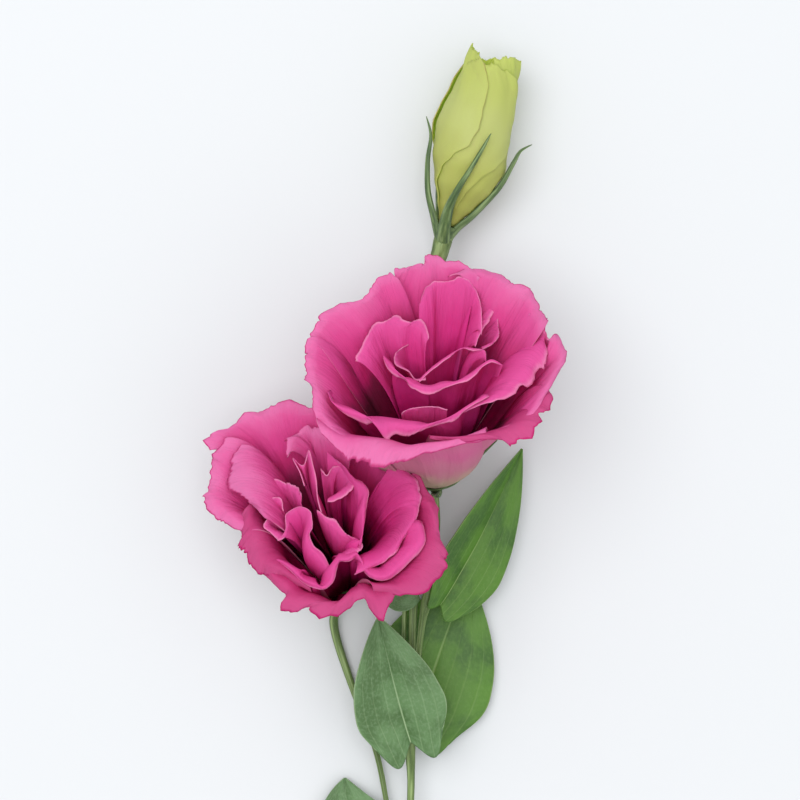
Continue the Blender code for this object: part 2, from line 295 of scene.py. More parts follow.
def petal_finish(name, stops, foot, low, broad, rim, line, edges):
    """Four colours from foot to rim, reached at the stops, and an edge line that fades in between edges."""
    finish, shader, start = new_finish(name, 0.6, Specular_IOR_Level=0.06)
    across, along = sheet_uv(start)
    patches = streaks(start, across, along, (3.0, 2.5), 2.0)
    mottle = streaks(start, across, along, (13.0, 9.0), 4.0)
    veins = streaks(start, across, along, (46.0, 3.0), 3.0)
    fine = streaks(start, across, along, (150.0, 9.0), 2.0)
    folds = streaks(start, across, along, (8.0, 1.4), 1.0)
    reach = along + (patches - 0.5) * 0.28 + (mottle - 0.5) * 0.12
    # The first colour, at the foot, is the petal's crimson deepened into painted shade of the hollows deep in
    # the bloom.
    colour = reach.ramp(*zip(stops, (foot, low, broad, rim)))
    darker = ((veins - 0.5) * 0.8 + (fine - 0.5) * 0.4 + (mottle - 0.5) * 0.5).math("MAXIMUM", 0.0)
    colour = colour.over((*low, 1.0), darker * along.rise(0.4, 0.7))
    paler = ((0.5 - veins) * 0.9 + (0.5 - mottle) * 0.9).math("MAXIMUM", 0.0)
    colour = colour.over((*rim, 1.0), paler * along * along)
    # On the inner petals this edge line is pale, a painted highlight where light catches the thin rim.
    edge = (along + (veins - 0.5) * 0.02).rise(*edges)
    colour = colour.over((*line, 1.0), edge * 0.7)
    relief = veins + fine * 0.4 + mottle * 1.2 + folds * 3.0
    link_up(start, shader, colour, relief, 0.7, 0.4)
    let_light_through(start, shader, GLOW, 0.30)
    return finish


# The darkest foot colour is painted shade for the hollows of the bloom, laid over the petal's own crimson.
DARK_CRIMSON_AND_SHADE, CRIMSON, PINK, PALE = srgb(56, 0, 12), srgb(192, 0, 104), srgb(232, 52, 152), srgb(246, 146, 206)
# The first of these is the rim of the darker copy of the outer finish: painted shade for lips that turn down.
# The second of these is the brighter inner pink, partly painted light against the shade deep in the bloom.
SHADED_ROSE, LIT_HOT_PINK = srgb(212, 100, 156), srgb(240, 62, 158)
# The pale edge line of the inner petals is a painted highlight, where light catches the thin rim.
DARK_LINE, RIM_HIGHLIGHT_LINE = (srgb(196, 24, 110), (0.975, 0.995)), (srgb(246, 160, 204), (0.93, 1.0))
# The stops of the faces also set how far up each petal the painted shade of the foot reaches.
BELOW, TALL, SHORT = (0.08, 0.36, 0.60, 0.97), (0.36, 0.53, 0.69, 0.98), (0.24, 0.42, 0.57, 0.94)
DUSTY_BACK = srgb(206, 186, 160), srgb(210, 128, 156), srgb(214, 108, 158)
OUTER = (
    petal_finish("outer_petal_back", BELOW, *DUSTY_BACK, srgb(236, 134, 188), *DARK_LINE),
    petal_finish("outer_petal_face", TALL, DARK_CRIMSON_AND_SHADE, CRIMSON, PINK, PALE, *DARK_LINE),
)
# A darker copy of the outer finish, for petals whose lips turn down and away from the light: painted shade.
SHADED_OUTER = (
    petal_finish("shaded_outer_petal_back", BELOW, *DUSTY_BACK, srgb(216, 104, 154), *DARK_LINE),
    petal_finish("shaded_outer_petal_face", TALL, DARK_CRIMSON_AND_SHADE, srgb(176, 0, 88), srgb(200, 44, 122), SHADED_ROSE, *DARK_LINE),
)
# The inner finish keeps a brighter pink further down the petal: partly painted light that lifts the shade
# deep in the bloom.
INNER_LIT = (
    petal_finish("inner_petal_back_lit", SHORT, srgb(90, 0, 28), CRIMSON, PINK, srgb(240, 108, 184), *RIM_HIGHLIGHT_LINE),
    petal_finish("inner_petal_face_lit", SHORT, DARK_CRIMSON_AND_SHADE, CRIMSON, LIT_HOT_PINK, srgb(242, 108, 184), *RIM_HIGHLIGHT_LINE),
)
print("petal finishes:", ", ".join(finish.name for finish in OUTER + SHADED_OUTER + INNER_LIT))

# %% [markdown]
# ## The shape of a petal
# A petal of an open bloom is drawn with two lines. The crest is where the petal is highest before it rolls
# over, and the rim is its free edge, a little further out. Both are lists of points (x, y, height) in
# millimetres in the frame of the bloom. Across the petal, a smooth line runs through those points. Up the
# petal, one curve climbs from its narrow foot to the crest, and a shorter one rolls over to the rim.
# Small ruffles and a slightly torn edge come last, and they grow towards the rim. The other numbers are the
# azimuth of the petal's middle, half the angle that its foot takes up (root), the foot's distance from the
# axis, how far the petal swells out below its crest (belly), and how strong its waves are (ruffle).

# %% Petals from a crest and a rim
Petal = namedtuple("Petal", "name middle root foot belly ruffle crest rim")
KNEE = 0.8


def on_curve(points, share):
    """A place on the smooth line through these points, at a share of the way along it."""
    span = share * (len(points) - 1)
    i = min(max(int(span), 0), len(points) - 2)
    t = span - i
    a, b, c, d = (Vector(points[min(max(k, 0), len(points) - 1)]) for k in range(i - 1, i + 3))
    return (b * 2 + (c - a) * t + (a * 2 - b * 5 + c * 4 - d) * t * t + (b * 3 - a - c * 3 + d) * t**3) / 2


def petal_point(petal, seed, u, v):
    """A point of an open petal: u runs across it from -1 to 1, and v from its foot at 0 to its rim at 1."""
    angle = math.radians(petal.middle + petal.root * u)
    outward = Vector((math.cos(angle), math.sin(angle), 0))
    foot = outward * petal.foot
    crest, rim = on_curve(petal.crest, (u + 1) / 2), on_curve(petal.rim, (u + 1) / 2)
    wide = (crest - on_curve(petal.crest, 0.5)) * (0.05 * petal.foot)
    belly = foot.lerp(crest, 0.42) + outward * petal.belly + wide
    ahead = ((crest - belly).normalized() + (rim - crest).normalized()).normalized()
    reach = (crest - foot).length
    if v < KNEE:
        t = v / KNEE
        near = crest - ahead * (0.22 * reach)
        point = foot * (1 - t) ** 3 + belly * (3 * t * (1 - t) ** 2)
        point += near * (3 * t * t * (1 - t)) + crest * t**3
    else:
        torn = petal.ruffle * (0.25 * wobble(u * 5.0, 0.5, seed) + 0.22 * wobble(u * 17.0, 1.5, seed))
        t = (v - KNEE) / (1 - KNEE) * (1 + torn)
        over = crest + ahead * (0.55 * (rim - crest).length)
        point = crest * (1 - t) ** 2 + over * (2 * t * (1 - t)) + rim * t * t
    side = Vector(outward[:2] + (0.9,))
    grow = smoothstep(0.35, 1.0, v)
    wave = 1.5 * wobble(u * 2.2, v * 2.0, seed + 5.0) + 0.7 * wobble(u * 6.0, v * 3.0, seed + 8.0)
    crimp = 0.4 * wobble(u * 14.0, v * 3.0, seed + 9.0) * smoothstep(0.8, 1.0, v)
    return point + side * (petal.ruffle * (wave * grow + crimp))


print("a petal climbs to its crest over the first", KNEE, "of the sheet, and then rolls over")

# %% [markdown]
# ## The two blooms
# The tables give each petal its place. They were set one by one, looking from above: where a petal's crest
# shows, how far its rim reaches beyond it, and which way its lip falls. Two sets then say which petals take
# the first two pairs of finishes, the outer pair and its darker copy with painted shade, and all others are
# inner petals.

# %% Petals of the upper bloom
UPPER_PETALS = (
    Petal(
        "outer_1", middle=268, root=34, foot=4.4, belly=7, ruffle=0.5,
        crest=(
            (-34, -13, 44), (-27, -18, 43), (-20, -18, 42), (-15, -18, 41), (-9, -20, 41),
            (-2, -19, 41), (5, -18, 41), (14, -14, 41),
        ),
        rim=(
            (-32, -18, 43), (-27, -23, 41), (-24, -24, 40), (-20, -25, 39), (-14, -26, 39),
            (-8, -24, 40), (1, -21, 40), (14, -17, 40),
        ),
    ),
    Petal(
        "outer_2", middle=318, root=34, foot=4.4, belly=3, ruffle=0.8,
        crest=(
            (-2, -15, 39), (6, -17, 41), (16, -16, 42), (22, -14, 43), (26, -10, 44), (29, -7, 45),
            (30, -2, 46),
        ),
        rim=(
            (-2, -16, 39), (6, -18, 40), (18, -18, 41), (21, -20, 41), (26, -19, 42), (29, -14, 43),
            (29, -11, 44), (32, -9, 44), (32, -5, 45), (32, -3, 46),
        ),
    ),
    Petal(
        "outer_3", middle=358, root=40, foot=4.4, belly=-1, ruffle=0.6,
        crest=(
            (14, -15, 40), (24, -12, 43), (29, -5, 46), (33, 3, 46), (35, 8, 47), (33, 11, 48),
            (31, 14, 49), (26, 20, 49),
        ),
        rim=(
            (14, -16, 40), (25, -13, 43), (31, -5, 46), (35, 3, 46), (37, 8, 46), (37, 11, 47),
            (35, 15, 48), (32, 12, 49), (31, 15, 50), (27, 21, 50),
        ),
    ),
    Petal(
        "outer_4", middle=92, root=38, foot=4.4, belly=-3, ruffle=0.7,
        crest=(
            (12, 32, 51), (7, 36, 51), (1, 37, 51), (-3, 36, 51), (-9, 35, 51), (-12, 33, 51),
        ),
        rim=(
            (13, 33, 52), (10, 36, 52), (7, 39, 52), (3, 40, 52), (0, 41, 52), (-3, 40, 52),
            (-3, 38, 52), (-5, 38, 52), (-9, 37, 52), (-12, 36, 52),
        ),
    ),
    Petal(
        "outer_5", middle=150, root=36, foot=4.4, belly=0, ruffle=0.8,
        crest=(
            (-10, 31, 51), (-15, 30, 51), (-18, 27, 50), (-23, 23, 50), (-29, 19, 49), (-33, 15, 48),
            (-34, 11, 48),
        ),
        rim=(
            (-12, 33, 52), (-14, 34, 52), (-18, 31, 52), (-20, 28, 51), (-24, 25, 51), (-28, 24, 50),
            (-33, 20, 49), (-34, 17, 49), (-36, 14, 48), (-35, 12, 48),
        ),
    ),
    Petal(
        "outer_6", middle=207, root=34, foot=4.4, belly=4, ruffle=0.8,
        crest=(
            (-33, 13, 48), (-34, 8, 47), (-34, 1, 46), (-33, -5, 45), (-32, -10, 44), (-29, -15, 43),
            (-26, -19, 43),
        ),
        rim=(
            (-36, 13, 48), (-38, 10, 47), (-38, 7, 47), (-37, 3, 46), (-37, 0, 46), (-36, -1, 45),
            (-36, -5, 45), (-35, -9, 44), (-33, -14, 43), (-30, -17, 42), (-28, -21, 42),
        ),
    ),
    Petal(
        "middle_1", middle=340, root=34, foot=3.6, belly=-3, ruffle=0.6,
        crest=(
            (8, -8, 42), (14, -5, 43), (18, -2, 44), (23, 3, 46), (26, 9, 47), (30, 13, 48),
            (32, 20, 49),
        ),
        rim=(
            (8, -9, 42), (13, -7, 43), (17, -6, 43), (21, -4, 44), (24, -1, 44), (27, -1, 44),
            (29, 4, 45), (31, 5, 46), (32, 10, 47), (31, 14, 48), (32, 20, 49),
        ),
    ),
    Petal(
        "middle_2", middle=46, root=40, foot=3.6, belly=-4, ruffle=0.6,
        crest=(
            (29, 13, 49), (27, 21, 50), (24, 27, 50), (18, 30, 51), (13, 32, 51), (8, 33, 51),
        ),
        rim=(
            (32, 19, 49), (30, 22, 50), (30, 24, 50), (28, 29, 50), (27, 30, 51), (24, 32, 51),
            (21, 33, 51), (18, 35, 51), (12, 36, 51), (8, 36, 51), (3, 33, 51),
        ),
    ),
    Petal(
        "middle_3", middle=95, root=26, foot=3.4, belly=-4, ruffle=0.5,
        crest=(
            (12, 18, 46), (12, 25, 49), (10, 30, 50), (6, 32, 50), (1, 31, 50), (-2, 28, 50),
            (-5, 24, 49),
        ),
        rim=(
            (13, 16, 46), (13, 23, 49), (11, 30, 50), (8, 33, 51), (4, 33, 51), (0, 32, 51),
            (-3, 30, 50), (-5, 26, 49),
        ),
    ),
    Petal(
        "middle_4", middle=160, root=34, foot=3.4, belly=-3, ruffle=0.5,
        crest=(
            (-3, 14, 44), (-4, 17, 45), (-7, 19, 46), (-10, 18, 46), (-13, 19, 46), (-16, 18, 45),
            (-18, 14, 45), (-19, 11, 44), (-20, 7, 43),
        ),
        rim=(
            (-2, 16, 45), (-3, 20, 46), (-5, 21, 47), (-8, 20, 47), (-11, 22, 47), (-14, 21, 47),
            (-18, 20, 46), (-20, 16, 46), (-22, 12, 45), (-23, 8, 44),
        ),
    ),
    Petal(
        "middle_5", middle=255, root=36, foot=3.6, belly=1, ruffle=0.6,
        crest=(
            (-31, -4, 45), (-29, -8, 45), (-23, -10, 44), (-19, -13, 44), (-14, -13, 43),
            (-8, -14, 43), (-2, -14, 43), (3, -12, 43), (8, -8, 43), (14, -4, 44),
        ),
        rim=(
            (-31, -4, 45), (-29, -8, 44), (-25, -11, 43), (-20, -13, 42), (-17, -13, 42),
            (-15, -16, 40), (-14, -17, 40), (-12, -16, 41), (-9, -16, 40), (-7, -16, 41),
            (-4, -15, 42), (1, -13, 42), (5, -12, 42), (9, -8, 43), (15, -5, 44),
        ),
    ),
    Petal(
        "inner_1", middle=270, root=60, foot=2.8, belly=1, ruffle=0.4,
        crest=(
            (-15, 10, 44), (-13, 6, 45), (-10, 2, 45), (-6, -1, 45), (-2, -2, 45), (2, -1, 45),
            (6, 0, 45), (10, 3, 45), (13, 5, 46), (16, 7, 46), (19, 5, 46),
        ),
        rim=(
            (-15, 9, 44), (-13, 4, 44), (-9, 1, 44), (-7, -2, 44), (-2, -4, 44), (2, -2, 44),
            (6, -1, 45), (10, 1, 45), (13, 4, 46), (16, 6, 46), (19, 5, 46),
        ),
    ),
    Petal(
        "inner_2", middle=30, root=30, foot=2.6, belly=-1, ruffle=0.4,
        crest=(
            (11, 14, 44), (12, 20, 45), (14, 26, 46), (14, 30, 47), (15, 32, 48),
        ),
        rim=(
            (11, 13, 44), (13, 18, 45), (16, 23, 46), (18, 27, 47), (18, 30, 48), (16, 32, 49),
            (14, 32, 49),
        ),
    ),
    Petal(
        "inner_3", middle=300, root=60, foot=2.4, belly=0, ruffle=0.4,
        crest=(
            (-5, 2, 43), (-1, 6, 44), (3, 9, 45), (7, 12, 45), (10, 12, 45), (13, 11, 45), (14, 8, 44),
        ),
        rim=(
            (-5, 1, 43), (-1, 5, 44), (3, 8, 45), (7, 12, 45), (10, 11, 45), (14, 11, 45), (14, 7, 44),
        ),
    ),
    Petal(
        "inner_4", middle=255, root=30, foot=2.8, belly=1, ruffle=0.4,
        crest=(
            (-10, -8, 39), (-8, -7, 40), (-3, -7, 41), (0, -7, 41), (3, -8, 41),
        ),
        rim=(
            (-10, -8, 40), (-8, -7, 41), (-3, -7, 42), (0, -7, 42), (3, -8, 42),
        ),
    ),
    Petal(
        "heart_1", middle=215, root=80, foot=1.6, belly=0, ruffle=0.3,
        crest=(
            (-8, 17, 41), (-10, 14, 42), (-11, 11, 42), (-10, 8, 42), (-8, 6, 42), (-6, 3, 42),
            (-3, 4, 42),
        ),
        rim=(
            (-8, 16, 42), (-11, 13, 43), (-12, 10, 43), (-11, 7, 43), (-8, 5, 43), (-6, 2, 43),
            (-3, 2, 43),
        ),
    ),
    Petal(
        "heart_2", middle=10, root=60, foot=1.6, belly=0, ruffle=0.3,
        crest=(
            (13, 14, 43), (16, 16, 43), (17, 19, 43), (17, 21, 44), (17, 25, 44),
        ),
        rim=(
            (13, 13, 43), (16, 15, 43), (18, 18, 43), (18, 20, 44), (18, 24, 45),
        ),
    ),
)
print("the upper bloom is drawn with", len(UPPER_PETALS), "petals")

# %% Petals of the lower bloom
LOWER_PETALS = (
    Petal(
        "outer_1", middle=45, root=34, foot=4.4, belly=-2, ruffle=0.8,
        crest=(
            (26, 13, 36), (22, 18, 38), (17, 24, 39), (9, 30, 40), (1, 33, 41),
        ),
        rim=(
            (28, 14, 36), (24, 21, 38), (19, 27, 40), (10, 33, 41), (1, 36, 42),
        ),
    ),
    Petal(
        "outer_2", middle=108, root=34, foot=4.4, belly=-4, ruffle=0.9,
        crest=(
            (3, 32, 41), (-6, 34, 42), (-12, 34, 42), (-17, 33, 42), (-23, 32, 41), (-28, 29, 40),
            (-30, 26, 39),
        ),
        rim=(
            (4, 35, 42), (-2, 36, 42), (-6, 38, 42), (-11, 39, 42), (-15, 38, 42), (-19, 37, 42),
            (-24, 36, 42), (-28, 32, 41), (-32, 30, 41), (-34, 29, 40), (-33, 26, 40),
        ),
    ),
    Petal(
        "outer_3", middle=165, root=40, foot=4.4, belly=1, ruffle=0.9,
        crest=(
            (-22, 27, 41), (-27, 21, 40), (-29, 17, 39), (-30, 12, 38), (-28, 9, 37), (-25, 5, 37),
            (-20, 0, 37),
        ),
        rim=(
            (-28, 28, 41), (-32, 25, 40), (-32, 22, 39), (-34, 18, 38), (-34, 13, 37), (-34, 10, 36),
            (-31, 5, 36), (-27, 3, 35), (-22, -1, 35),
        ),
    ),
    Petal(
        "outer_4", middle=215, root=42, foot=4.4, belly=7, ruffle=0.9,
        crest=(
            (-21, 9, 37), (-20, 3, 37), (-18, 0, 36), (-17, -5, 36), (-15, -8, 35), (-11, -12, 34),
            (-4, -17, 32),
        ),
        rim=(
            (-25, 5, 36), (-24, 0, 36), (-25, -3, 35), (-24, -5, 34), (-22, -8, 33), (-18, -11, 32),
            (-16, -12, 32), (-12, -14, 32), (-4, -18, 31),
        ),
    ),
    Petal(
        "outer_5", middle=268, root=44, foot=4.4, belly=6, ruffle=0.8,
        crest=(
            (-20, -5, 35), (-16, -11, 33), (-11, -15, 33), (-8, -18, 32), (-4, -20, 32), (0, -22, 32),
            (4, -22, 31), (6, -21, 32), (9, -19, 32), (11, -18, 32), (15, -20, 32), (19, -20, 32),
            (23, -16, 30),
        ),
        rim=(
            (-21, -5, 34), (-18, -11, 32), (-15, -14, 31), (-12, -17, 31), (-11, -19, 31),
            (-13, -22, 31), (-10, -23, 31), (-8, -24, 31), (-6, -23, 31), (-4, -24, 31), (-1, -27, 30),
            (3, -26, 30), (7, -24, 30), (9, -23, 31), (12, -22, 31), (13, -24, 30), (17, -28, 30),
            (19, -24, 31), (21, -20, 31), (24, -17, 29),
        ),
    ),
    Petal(
        "outer_6", middle=335, root=40, foot=4.4, belly=2, ruffle=0.8,
        crest=(
            (14, -18, 33), (21, -18, 33), (25, -16, 34), (29, -13, 35), (31, -8, 36), (31, -2, 36),
            (30, 4, 37), (28, 9, 37), (26, 14, 38),
        ),
        rim=(
            (14, -20, 31), (22, -21, 31), (25, -21, 31), (30, -20, 31), (32, -18, 32), (34, -15, 32),
            (36, -14, 33), (35, -12, 33), (36, -10, 33), (34, -7, 34), (33, -2, 35), (33, 4, 35),
            (31, 8, 36), (29, 12, 37), (27, 16, 37),
        ),
    ),
    Petal(
        "middle_1", middle=10, root=30, foot=3.4, belly=-4, ruffle=0.6,
        crest=(
            (10, -14, 35), (17, -11, 36), (22, -6, 37), (26, -1, 38), (27, 4, 39), (26, 10, 40),
            (20, 16, 40),
        ),
        rim=(
            (9, -15, 34), (14, -13, 34), (18, -12, 35), (21, -10, 36), (23, -7, 36), (26, -3, 37),
            (28, 0, 38), (29, 5, 38), (29, 8, 39), (28, 12, 39), (21, 18, 40),
        ),
    ),
    Petal(
        "middle_2", middle=85, root=26, foot=3.4, belly=-3, ruffle=0.9,
        crest=(
            (9, 19, 41), (4, 23, 42), (0, 26, 42), (-4, 28, 42), (-6, 26, 42), (-8, 23, 41),
        ),
        rim=(
            (10, 20, 42), (6, 24, 43), (2, 27, 43), (0, 29, 43), (-3, 30, 43), (-6, 29, 43),
            (-9, 27, 42), (-10, 24, 42), (-10, 21, 41),
        ),
    ),
    Petal(
        "middle_3", middle=160, root=28, foot=3.4, belly=-3, ruffle=0.7,
        crest=(
            (-19, 24, 42), (-18, 20, 42), (-17, 14, 42), (-17, 10, 41), (-16, 5, 40), (-15, 2, 39),
        ),
        rim=(
            (-23, 25, 42), (-26, 21, 41), (-27, 17, 40), (-27, 13, 39), (-23, 10, 39), (-19, 7, 38),
            (-16, 3, 38),
        ),
    ),
    Petal(
        "middle_4", middle=215, root=34, foot=3.0, belly=2, ruffle=0.5,
        crest=(
            (-11, -2, 35), (-10, 1, 36), (-10, 3, 37), (-8, 4, 38), (-6, 5, 38), (-4, 3, 38),
            (-4, 0, 37), (-5, -3, 36), (-4, -6, 35), (-1, -9, 34), (1, -12, 33), (2, -14, 32),
        ),
        rim=(
            (-12, -2, 35), (-11, 0, 36), (-11, 4, 37), (-9, 5, 38), (-6, 6, 38), (-3, 4, 38),
            (-3, 0, 37), (-4, -2, 36), (-3, -5, 35), (0, -8, 34), (2, -12, 33), (3, -15, 32),
        ),
    ),
    Petal(
        "middle_5", middle=285, root=48, foot=3.4, belly=5, ruffle=0.5,
        crest=(
            (-13, -9, 35), (-9, -12, 35), (-6, -15, 34), (-2, -17, 34), (0, -18, 34), (2, -16, 34),
            (3, -13, 35), (5, -11, 36), (8, -10, 36), (10, -9, 36), (11, -11, 36), (12, -13, 35),
            (14, -15, 35), (18, -16, 35), (21, -14, 36), (25, -10, 37), (28, -7, 38), (27, -1, 38),
        ),
        rim=(
            (-14, -9, 34), (-10, -12, 34), (-6, -16, 33), (-2, -18, 33), (1, -18, 33), (3, -16, 33),
            (4, -13, 34), (5, -11, 35), (8, -11, 35), (10, -10, 35), (12, -12, 35), (12, -14, 34),
            (14, -16, 33), (18, -17, 33), (22, -15, 34), (27, -11, 35), (30, -7, 36), (29, -1, 37),
        ),
    ),
    Petal(
        "inner_1", middle=10, root=50, foot=2.6, belly=-1, ruffle=0.4,
        crest=(
            (11, -7, 37), (12, -3, 38), (12, 3, 39), (13, 8, 41), (11, 10, 42), (9, 12, 42),
            (6, 17, 42), (2, 20, 42),
        ),
        rim=(
            (11, -8, 36), (12, -2, 37), (13, 4, 38), (14, 8, 40), (12, 11, 41), (9, 13, 41),
            (6, 17, 42), (4, 19, 42), (2, 21, 42),
        ),
    ),
    Petal(
        "inner_2", middle=100, root=34, foot=2.4, belly=0, ruffle=0.3,
        crest=(
            (0, 4, 37), (-1, 9, 38), (-2, 13, 40), (-3, 18, 41), (-4, 20, 41), (-5, 17, 40),
            (-7, 19, 41), (-6, 16, 40), (-5, 13, 39),
        ),
        rim=(
            (0, 4, 38), (-1, 8, 39), (-1, 13, 41), (-2, 18, 42), (-3, 22, 43), (-5, 18, 41),
            (-8, 20, 42), (-6, 16, 41), (-5, 12, 40),
        ),
    ),
    Petal(
        "inner_3", middle=185, root=40, foot=2.4, belly=1, ruffle=0.4,
        crest=(
            (-11, 5, 37), (-12, 7, 38), (-14, 8, 38), (-15, 7, 38), (-14, 4, 37), (-15, 2, 36),
            (-14, 0, 36), (-12, -1, 35), (-11, -1, 35),
        ),
        rim=(
            (-11, 5, 38), (-11, 7, 39), (-12, 9, 39), (-15, 9, 39), (-16, 8, 38), (-15, 4, 38),
            (-17, 1, 37), (-15, -1, 36), (-13, -3, 35), (-11, -2, 35),
        ),
    ),
    Petal(
        "inner_4", middle=50, root=30, foot=2.2, belly=-1, ruffle=0.4,
        crest=(
            (2, 8, 38), (5, 9, 39), (7, 10, 40), (8, 12, 40), (6, 15, 40), (4, 15, 40), (2, 14, 39),
            (0, 15, 39),
        ),
        rim=(
            (2, 7, 38), (5, 7, 39), (8, 8, 40), (10, 10, 41), (9, 13, 41), (7, 16, 41), (4, 17, 41),
            (2, 14, 41), (0, 17, 40),
        ),
    ),
    Petal(
        "heart_1", middle=340, root=60, foot=1.6, belly=-1, ruffle=0.4,
        crest=(
            (4, -9, 34), (7, -8, 35), (9, -6, 35), (9, -5, 36), (5, -3, 36), (2, 0, 37), (-1, 4, 37),
        ),
        rim=(
            (5, -10, 34), (9, -9, 35), (12, -8, 36), (11, -5, 36), (8, -4, 37), (6, -2, 37),
            (4, 1, 38), (1, 3, 38), (-1, 5, 38),
        ),
    ),
    Petal(
        "heart_2", middle=120, root=60, foot=1.6, belly=-1, ruffle=0.5,
        crest=(
            (-6, 7, 37), (-7, 9, 38), (-9, 11, 38), (-12, 13, 38), (-15, 13, 38),
        ),
        rim=(
            (-6, 8, 37), (-6, 10, 38), (-7, 12, 39), (-9, 13, 39), (-11, 14, 39), (-14, 15, 39),
            (-16, 15, 39),
        ),
    ),
)
print("the lower bloom is drawn with", len(LOWER_PETALS), "petals")

# %% Make the petals
# This set takes the darker copy of the outer finish: painted shade on petals whose lips turn down, away from
# the light.
SHADED_OUTER_PETALS = {"upper_flower_outer_2", "lower_flower_outer_4", "lower_flower_outer_5", "lower_flower_outer_6"}
PALE_PETALS = {f"{bloom}_flower_outer_{i}" for bloom in ("upper", "lower") for i in range(1, 7)} - SHADED_OUTER_PETALS
PALE_PETALS |= {"upper_flower_middle_2", "lower_flower_middle_2", "lower_flower_middle_3"}
CELLS = ((56, 56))
PETAL_THICK = 0.3
for prefix, bloom, petals in (("upper_flower", UPPER, UPPER_PETALS), ("lower_flower", LOWER, LOWER_PETALS)):
    for seed, petal in enumerate(petals):
        name = f"{prefix}_{petal.name}"
        shape = partial(petal_point, petal, seed + (20.3 if bloom is LOWER else 0.7))
        mesh = surface_mesh(name + "_sheet", [(shape, CELLS)], turned(bloom))
        finishes = OUTER if name in PALE_PETALS else SHADED_OUTER if name in SHADED_OUTER_PETALS else INNER_LIT
        piece = add_piece(name + "_fine", mesh, [name], "petal", *finishes)
        thicken(piece, PETAL_THICK, 1)
    print(prefix, "is made, each petal", PETAL_THICK, "mm thick")

# %% [markdown]
# ## The bud
# The bud's five petals are furled round each other in a spiral, like a rolled umbrella. Each one hides a
# side of the next, and its free edge runs up the bud at a slant. They are thicker than the open petals and
# still green, and their tops are ragged and gape a little. A furled petal is easiest to draw round the bud's
# axis: BUD_PROFILE gives the bud's radius, and BUD_EDGE the angle of the free edge, at each share of its
# length.

# %% Bud finish
def bud_finish(name, foot, low, broad, top):
    """Four greens from foot to top, with faint veins and a thin brown line at the free edge."""
    finish, shader, start = new_finish(name, 0.55, Specular_IOR_Level=0.3)
    across, along = sheet_uv(start)
    patches = streaks(start, across, along, (2.5, 2.0), 2.0)
    veins = streaks(start, across, along, (34.0, 2.5), 3.0)
    reach = along + (patches - 0.5) * 0.3
    colour = reach.ramp((0.04, foot), (0.30, low), (0.62, broad), (0.95, top))
    colour = colour.over((*low, 1.0), (veins - 0.5).math("MAXIMUM", 0.0) * 0.9)
    side = (across - 0.5).size() * 2.0
    edge = along.rise(0.985, 0.998).math("MAXIMUM", side.rise(0.975, 0.998) * along.rise(0.3, 0.6))
    colour = colour.over((*srgb(190, 140, 110), 1.0), edge * 0.75)
    link_up(start, shader, colour, veins, 0.35, 0.2)
    let_light_through(start, shader, srgb(214, 244, 120), 0.35)
    return finish


BUD_FACE = bud_finish(
    "bud_face", srgb(150, 172, 56), srgb(190, 212, 104), srgb(216, 240, 160), srgb(208, 238, 126)
)
# The inner faces are their own yellower green, made brighter with painted light against the shade inside the
# furled bud.
BUD_INNER_LIT = bud_finish(
    "bud_inner_lit", srgb(170, 206, 40), srgb(196, 232, 50), srgb(218, 248, 70), srgb(226, 250, 110)
)

# %% Bud petals
BUD_PROFILE = (
    (0.0, 2.4), (0.05, 3.6), (0.12, 5.8), (0.24, 9.2), (0.38, 11.6), (0.53, 11.9), (0.64, 11.1), (0.75, 9.9),
    (0.89, 8.6), (1.0, 7.7),
)
BUD_EDGE = ((0.0, -75), (0.2, -62), (0.3, -46), (0.38, -25), (0.46, -2), (0.56, 10), (0.8, 4), (1.0, -34))
BUD_DEPTH, BUD_THICK = 53.5, 0.35
BudPetal = namedtuple("BudPetal", "name azimuth length lip")
BUD_PETALS = (
    BudPetal("petal_1", 270, 0.99, 0.0),
    BudPetal("petal_2", 342, 0.92, 0.4),
    BudPetal("petal_3", 54, 0.97, 0.6),
    BudPetal("petal_4", 126, 0.96, 0.4),
    BudPetal("petal_5", 172, 0.96, 0.0),
)


def along_table(table, x):
    """The value at x of a table of (x, value) pairs, joined smoothly."""
    for (x0, y0), (x1, y1) in zip(table, table[1:]):
        if x <= x1:
            return y0 + (y1 - y0) * (smoothstep(x0, x1, x) + (x - x0) / (x1 - x0)) * 0.5
    return table[-1][1]


def bud_point(petal, seed, u, v):
    """A point of a furled petal, whose free edge at u = 1 follows BUD_EDGE, in degrees, up the bud."""
    torn = 0.030 * wobble(u * 4.0, 0.5, seed) + 0.018 * wobble(u * 15.0, 1.5, seed)
    t = petal.length * v * (1 - 0.07 * max(u, 0.0) ** 4 - 0.10 * max(-u, 0.0) ** 3 + torn * v)
    ripple = 4.0 * wobble(v * 7.0, 0.5, seed) + 2.0 * wobble(v * 19.0, 0.5, seed)
    span = mix(95, 135, smoothstep(0.0, 0.3, t))
    edge = petal.azimuth + along_table(BUD_EDGE, t) + ripple * max(u, 0.0) ** 4
    angle = math.radians(edge - span * (1 - u) / 2)
    inset = 0.7 * (1 - u) * smoothstep(0.0, 0.2, t)
    swell = petal.lip * smoothstep(0.88, 1.0, v)
    swell += 0.9 * smoothstep(0.8, 1.0, v) * wobble(u * 4.0, v * 2.0, seed)
    swell += 0.5 * wobble(u * 2.5, v * 3.5, seed + 4.0) * smoothstep(0.0, 0.3, t)
    radius = along_table(BUD_PROFILE, min(t, 1.0)) - inset + swell
    belly = 1.5 * math.sin(math.pi * min(t / 0.55, 1.0)) + 0.6 * smoothstep(0.55, 0.75, t)
    return Vector((belly + radius * math.cos(angle), radius * math.sin(angle), BUD_DEPTH * t))


